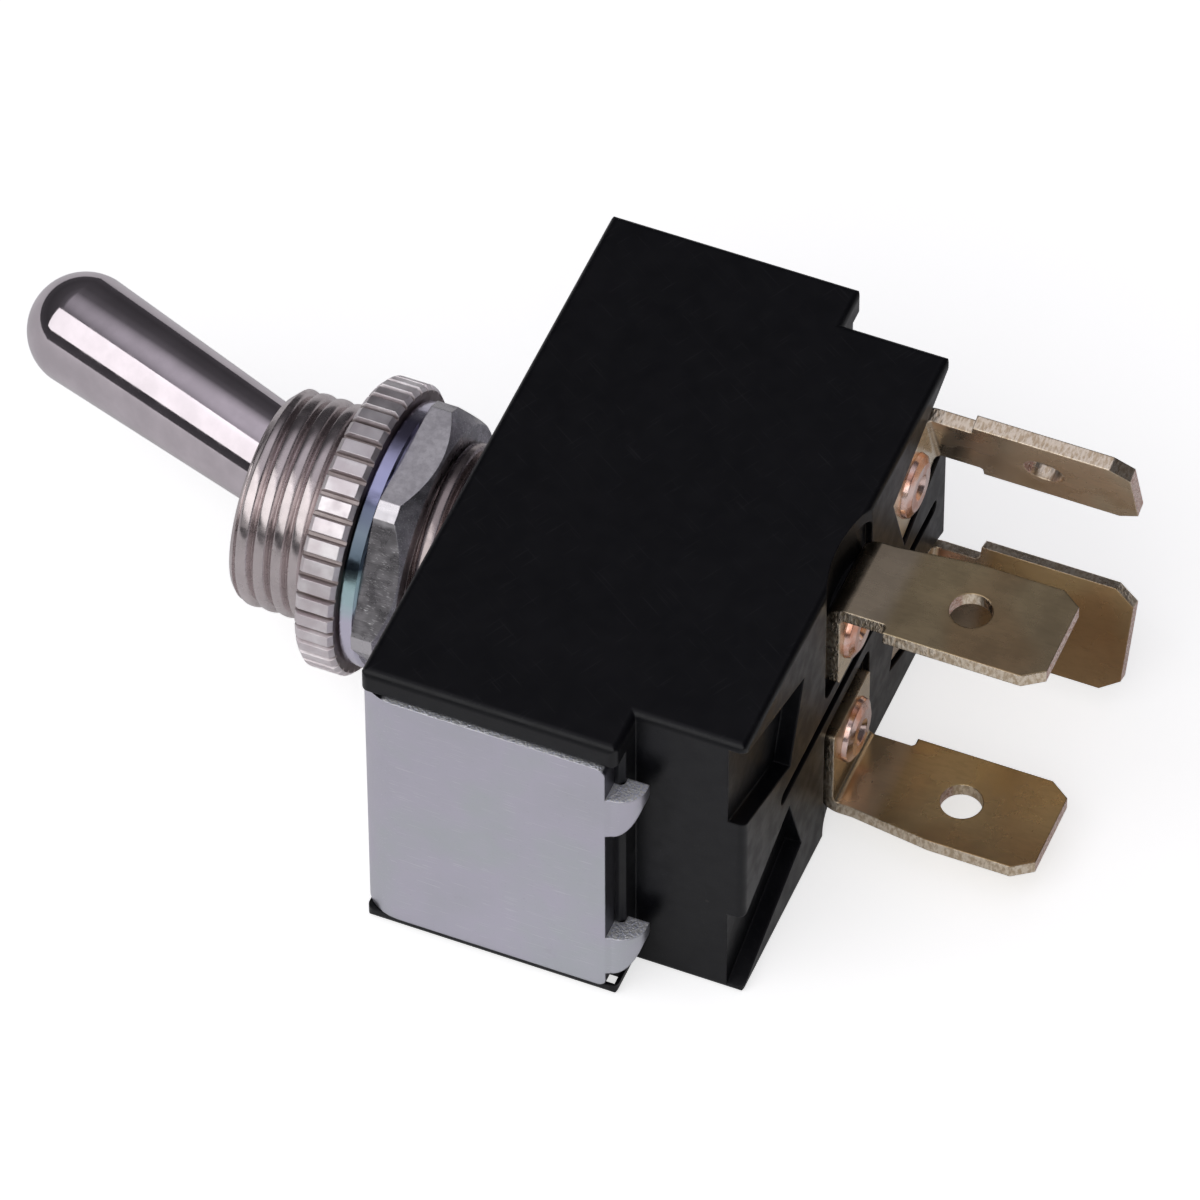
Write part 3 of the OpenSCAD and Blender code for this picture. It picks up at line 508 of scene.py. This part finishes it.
class Turning:
    """Mesh of a solid of turning about Y, from rings, poles and threaded sleeves."""

    def __init__(self, name, segments):
        self.name, self.segments, self.bm = name, segments, bmesh.new()

    def angle(self, i):
        return 2 * math.pi * i / self.segments

    def surface(self, profile):
        """profile: (r, y) pairs in order; r 0 is a pole."""
        self.skin([self.ring(r, y) for r, y in profile])

    def ring(self, r, y):
        count = self.segments if r > 0 else 1
        return [self.bm.verts.new(to_frame(self.angle(i), r, y)) for i in range(count)]

    def skin(self, rows):
        """Faces between each row and the next; a row of one vertex is a pole."""
        for a, b in zip(rows, rows[1:]):
            for i in range(self.segments):
                k = (i + 1) % self.segments
                quad = [a[i % len(a)], a[k % len(a)], b[k % len(b)], b[i % len(b)]]
                corners = list(dict.fromkeys(quad))
                if len(corners) > 2:
                    self.bm.faces.new(corners)

    def sleeve(self, y0, y1, radius, per_turn):
        """Rows that follow the helix, so that crests and valleys lie on edges of the mesh."""
        step = PITCH / per_turn
        count = math.ceil((y1 - y0 + PITCH) / step) + 1
        columns = []
        for i in range(self.segments):
            start = y0 - PITCH + PITCH * i / self.segments
            heights = [min(max(start + j * step, y0), y1) for j in range(count + per_turn)]
            a = self.angle(i)
            columns.append([self.bm.verts.new(to_frame(a, radius(a, y), y)) for y in heights])
        for i, column in enumerate(columns):
            # after the last column the first comes again, one turn of the thread further on
            last = i + 1 == self.segments
            other, shift = (columns[0], per_turn) if last else (columns[i + 1], 0)
            for j in range(count - 1):
                quad = (column[j], other[j + shift], other[j + shift + 1], column[j + 1])
                if len({v.co.y for v in quad}) > 1:
                    self.bm.faces.new(quad)

    def finish(self, sharp):
        """Makes the object; edges over sharp degrees stay sharp in the shading."""
        bmesh.ops.remove_doubles(self.bm, verts=self.bm.verts, dist=1e-7)
        bmesh.ops.dissolve_degenerate(self.bm, edges=self.bm.edges, dist=1e-8)
        loose = [v for v in self.bm.verts if not v.link_faces]
        bmesh.ops.delete(self.bm, geom=loose, context="VERTS")
        bmesh.ops.recalc_face_normals(self.bm, faces=self.bm.faces)
        mesh = bpy.data.meshes.new(self.name)
        self.bm.to_mesh(mesh)
        self.bm.free()
        mesh.shade_smooth()
        mesh.set_sharp_from_angle(angle=math.radians(sharp))
        obj = bpy.data.objects.new(self.name, mesh)
        bpy.context.scene.collection.objects.link(obj)
        return obj


def bore_for_pin(obj, radius, segments=40, depth=24):
    """Cuts the cross hole of the pivot pin, along Z."""
    centre = Matrix.Translation((0, (-PIVOT_Y + BRACKET_Y) * MM, 0))
    cutter = bmesh.new()
    bmesh.ops.create_cone(cutter, cap_ends=True, segments=segments, radius1=radius * MM,
                          radius2=radius * MM, depth=depth * MM, matrix=centre)
    mesh = bpy.data.meshes.new("pin_cutter")
    cutter.to_mesh(mesh)
    cutter.free()
    tool = bpy.data.objects.new("pin_cutter", mesh)
    bpy.context.scene.collection.objects.link(tool)
    modifier = obj.modifiers.new("bore", "BOOLEAN")
    modifier.operation, modifier.solver, modifier.object = "DIFFERENCE", "EXACT", tool
    bpy.context.view_layer.update()
    result = obj.evaluated_get(bpy.context.evaluated_depsgraph_get())
    cut = bpy.data.meshes.new_from_object(result)
    obj.modifiers.clear()
    obj.data = cut
    bpy.data.objects.remove(tool)


def stand_for(obj, node, body, slot):
    """The piece takes a node's place, on the same body."""
    dress(obj, MATERIALS[slot])
    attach(obj, body)
    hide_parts(node)


def thread_radius(angle, y, crest=0.14):
    """A right-hand thread where it shows, a plain neck under the nuts.

    crest is how far its rounded top falls by the end of the pitch.
    """
    if NECK_FRONT < y < NECK_REAR:
        return MEAN_R
    x = (y / PITCH - angle / (2 * math.pi)) % 1.0 - 0.5
    u = abs(2 * x)
    r = THREAD_R - crest * u * u - (THREAD_DEPTH - crest) * (max(0, u - 0.5) / 0.5) ** 1.5
    chamfer = THREAD_R - BUSH_CHAMFER + (y + BUSH_L)
    return min(r, chamfer)


def threaded_bushing():
    """The real thread over a neck, a flared mouth, the lever's socket and the rolled rim."""
    work = Turning("threaded_bushing", 120)
    for y0, y1 in ((-BUSH_L, NECK_FRONT), (NECK_REAR, 0.0)):
        work.sleeve(y0, y1, thread_radius, 24)
    work.surface([(MEAN_R, NECK_FRONT), (MEAN_R, NECK_REAR)])
    # steps from the front thread to the mouth, from both threads to the neck, and to the spigot
    angles = [work.angle(i) for i in range(work.segments)]
    steps = ((-BUSH_L, MOUTH_R), (NECK_FRONT, MEAN_R), (NECK_REAR, MEAN_R), (0.0, SPIGOT_R))
    for y, inner in steps:
        work.skin([[work.bm.verts.new(to_frame(a, r, y)) for a, r in zip(angles, radii)]
                   for radii in ([thread_radius(a, y) for a in angles], [inner] * len(angles))])
    # the socket's curve, from its widest place to the throat
    arc = [math.radians(a) for a in range(0, 36, 5)][:-1] + [math.acos(THROAT_R / SOCKET_R)]
    mouth = [(MOUTH_R, -BUSH_L), (THROAT_R, -PIVOT_Y - SOCKET_R * math.sin(arc[-1]))]
    socket = [(SOCKET_R * math.cos(a), -PIVOT_Y - SOCKET_R * math.sin(a))
              for a in reversed(arc[:-1])]
    rear = [(SOCKET_R, -2.0), (4.85, SHEET + RIM_L), (5.9, SHEET + RIM_L), (RIM_R, SHEET),
            (SPIGOT_R, SHEET), (SPIGOT_R, 0.0)]
    work.surface(mouth + socket + rear)
    obj = work.finish(38)
    bore_for_pin(obj, PIN_BORE_R)
    stand_for(obj, "bushing", "switch_body", "nickel")


def bat_lever(sharp=30):
    """Drawn straight and then tilted to the rest pose, as the solid that it stands for."""
    bat_l, tip_r, bat_r, neck_r, ball_r, tail_r, tail_l = 21.1, 3.2, 2.82, 2.38, 4.2, 1.6, 14.2
    tip_turns = [math.radians(3 + i * 87 / 24) for i in range(25)]
    tip = [(tip_r * math.cos(a), -bat_l - tip_r * math.sin(a)) for a in tip_turns]
    tip[-1] = (0, -bat_l - tip_r)
    a0, a1 = math.acos(neck_r / ball_r), math.acos(tail_r / ball_r)
    ball_turns = [-a0 + (a0 + a1) * i / 28 for i in range(29)]
    ball = [(ball_r * math.cos(a), ball_r * math.sin(a)) for a in ball_turns]
    tail = [(tail_r, tail_l - 0.3), (tail_r - 0.3, tail_l), (0, tail_l)]
    outline = list(reversed(tip)) + [(bat_r, -7.2), (neck_r, -3.6)] + ball + tail
    work = Turning("bat_lever", 96)
    work.surface([(r, y - PIVOT_Y) for r, y in outline])
    obj = work.finish(sharp)
    bore_for_pin(obj, LEVER_BORE_R)
    pivot = Matrix.Translation((0, (BRACKET_Y - PIVOT_Y) * MM, 0))
    tilted = Matrix.Rotation(-math.radians(TILT), 4, "Z")
    obj.data.transform(pivot @ tilted @ pivot.inverted())
    obj.data.shade_smooth()
    obj.data.set_sharp_from_angle(angle=math.radians(sharp))
    stand_for(obj, "lever", "lever", "polished_nickel")


def copy_of(node, name):
    obj = bpy.data.objects.new(name, nodes[node].data.copy())
    bpy.context.scene.collection.objects.link(obj)
    return obj


def turned_hex_nut(turn=7):
    """The nut as it was tightened in the photo, some degrees on from the solid's place."""
    obj = copy_of("hex_nut", "turned_hex_nut")
    obj.data.transform(Matrix.Rotation(math.radians(turn), 4, "Y"))
    stand_for(obj, "hex_nut", "switch_body", "nut_steel")


def longer_housing(forward=0.4, skin_y=SHEET - 0.02, fade=0.7):
    """The solid's block with its front, which the bracket covers, a little further out.

    What lies in front of skin_y moves, fully from fade mm in front of it.
    """
    obj = copy_of("housing", "longer_housing")
    for vert in obj.data.vertices:
        y = vert.co.y / MM - BRACKET_Y
        vert.co.y -= forward * MM * min(1, max(0, skin_y - y) / fade)
    stand_for(obj, "housing", "switch_body", "phenolic")


def proud_bracket(forward=0.7, outward=0.1, outer_r=1.6, leg_x=17.25):
    """The solid's bracket with its outer skin further out, so that it stands proud of the block.

    The photo shows its front about 1.1 mm out, more than forward gives.
    outer_r is the outside of the folds, leg_x the outer face of a leg.
    """
    ears_y, leg_skin = 13.4, 1.0
    obj = copy_of("bracket", "proud_bracket")
    for vert in obj.data.vertices:
        x, y = abs(vert.co.x) / MM, vert.co.y / MM - BRACKET_Y
        fold = math.hypot(x - (leg_x - outer_r), y - outer_r)
        on_fold = y < outer_r and x > leg_x - outer_r and fold > outer_r - 0.1
        if y < SHEET - 0.02 or on_fold:
            vert.co.y -= forward * MM * (1 - max(y, 0) / outer_r)
        if x > leg_x - leg_skin and y < ears_y:
            share = min(1, (x - leg_x + leg_skin) / leg_skin)
            vert.co.x += math.copysign(outward * MM * share, vert.co.x)
    stand_for(obj, "bracket", "switch_body", "zinc_steel")


def coil_spring(side):
    """A copy of the spring, attached to the lever's body with a mesh of its own; the real spring
    gets shorter as its plunger goes in.
    """
    obj = copy_of(f"spring_{side}", f"coil_spring_{side}")
    stand_for(obj, f"spring_{side}", "lever", "spring_steel")
    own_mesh(obj)


threaded_bushing()
bat_lever()
for side in ("upper", "lower"):
    coil_spring(side)
turned_hex_nut()
longer_housing()
proud_bracket()


# ---------- camera ----------
def camera():
    """At the photo's viewing angle.

    azimuth is counted from -Y toward +X; angles are in degrees and lengths in mm.
    """
    azimuth, elevation, roll = (math.radians(a) for a in (112.63, 49.94, -0.27))
    distance, aside, below = 601, 5.46, 1.89
    back = Vector((math.sin(azimuth) * math.cos(elevation),
                   -math.cos(azimuth) * math.cos(elevation), math.sin(elevation)))
    right = (-back).cross(Vector((0, 0, 1))).normalized()
    up = right.cross(-back)
    front_of_bracket = Vector((0, BRACKET_Y * MM, 0))
    place = front_of_bracket + right * aside * MM - up * below * MM + back * distance * MM
    data = bpy.data.cameras.new("camera")
    data.lens = 339.8
    data.sensor_width = 36
    data.clip_start = 0.01
    cam = bpy.data.objects.new("camera", data)
    across = right * math.cos(roll) + up * math.sin(roll)
    upward = up * math.cos(roll) - right * math.sin(roll)
    turn = Matrix((across, upward, back)).transposed().to_4x4()
    cam.matrix_world = Matrix.Translation(place) @ turn
    bpy.context.scene.collection.objects.link(cam)
    bpy.context.scene.camera = cam


# ---------- studio ----------
def direction(azimuth, elevation):
    """Unit vector; azimuth from +X toward +Y, in degrees."""
    a, e = math.radians(azimuth), math.radians(elevation)
    return Vector((math.cos(a) * math.cos(e), math.sin(a) * math.cos(e), math.sin(e)))


def softbox(name, azimuth, elevation, half_wide, half_high, radiance, distance=0.9):
    """A rectangular lamp, distance in metres, that covers the half angles seen from the object."""
    data = bpy.data.lights.new(name, "AREA")
    data.shape = "RECTANGLE"
    data.size = 2 * distance * math.tan(math.radians(half_wide))
    data.size_y = 2 * distance * math.tan(math.radians(half_high))
    data.energy = radiance * math.pi * data.size * data.size_y
    lamp = bpy.data.objects.new(name, data)
    back = direction(azimuth, elevation)
    aim = back.to_track_quat("Z", "Y").to_matrix().to_4x4()
    lamp.matrix_world = Matrix.Translation(back * distance) @ aim
    lamp.visible_camera = False
    bpy.context.scene.collection.objects.link(lamp)


# Height above the horizon, from -1 to 1, and how bright the room is there
ROOM_GREYS = ((-0.05, 0.40), (0.0, 0.07), (0.30, 0.05), (0.62, 0.07), (0.78, 0.12), (0.86, 0.38),
              (0.92, 0.58))


def room():
    """Grey room: a pale floor, dim walls and a brighter ceiling. The camera sees white."""
    world = bpy.data.worlds.new("room")
    bpy.context.scene.world = world
    world.use_nodes = True
    tree = world.node_tree
    ramp = tree.nodes.new("ShaderNodeValToRGB")
    split = tree.nodes.new("ShaderNodeSeparateXYZ")
    coords = tree.nodes.new("ShaderNodeTexCoord")
    tree.links.new(coords.outputs["Generated"], split.inputs[0])
    height = tree.nodes.new("ShaderNodeMapRange")
    height.inputs["From Min"].default_value = -1
    tree.links.new(split.outputs["Z"], height.inputs["Value"])
    tree.links.new(height.outputs["Result"], ramp.inputs["Fac"])
    ramp.color_ramp.elements[0].position = 0.0
    ramp.color_ramp.elements[0].color = (0.45, 0.44, 0.45, 1)
    ramp.color_ramp.elements[1].position = 1.0
    ramp.color_ramp.elements[1].color = (0.60, 0.59, 0.64, 1)
    for z, grey in ROOM_GREYS:
        ramp.color_ramp.elements.new((z + 1) / 2).color = (grey, grey * 0.97, grey * 1.06, 1)
    shown = tree.nodes.new("ShaderNodeMix")
    shown.data_type = "RGBA"
    shown.inputs[7].default_value = (1, 1, 1, 1)
    tree.links.new(tree.nodes.new("ShaderNodeLightPath").outputs["Is Camera Ray"], shown.inputs[0])
    tree.links.new(ramp.outputs["Color"], shown.inputs[6])
    tree.links.new(shown.outputs[2], tree.nodes["Background"].inputs["Color"])


def table(for_camera=0.65, for_mirrors=0.10):
    """A pale floor under the switch, which lies on its broad lower side.

    Its own glow, for the camera and for reflections; it keeps the shadow.
    """
    low = cad_box[0].z - 0.02 * MM
    mesh = bpy.data.meshes.new("floor")
    r = 4.0
    corners = [(-r, -r, low), (r, -r, low), (r, r, low), (-r, r, low)]
    mesh.from_pydata(corners, [], [(0, 1, 2, 3)])
    floor = bpy.data.objects.new("floor", mesh)
    bpy.context.scene.collection.objects.link(floor)
    s = Shader("pale_floor", (0.80, 0.80, 0.80), 1.0, 0.0, Specular_IOR_Level=0.0)
    rays = s.node("ShaderNodeLightPath")
    shown = s.times(rays.outputs["Is Camera Ray"], for_camera)
    mirrored = s.math("MAXIMUM", rays.outputs["Is Glossy Ray"], rays.outputs["Is Transmission Ray"])
    glow = s.math("ADD", shown, s.times(mirrored, for_mirrors))
    s.bsdf.inputs["Emission Color"].default_value = (1, 1, 1, 1)
    s.link(glow, s.bsdf.inputs["Emission Strength"])
    mesh.materials.append(s.mat)


camera()
room()
softbox("key", -20, 43, 46, 23, 1.35)
table()
bpy.context.scene.view_settings.view_transform = "Standard"
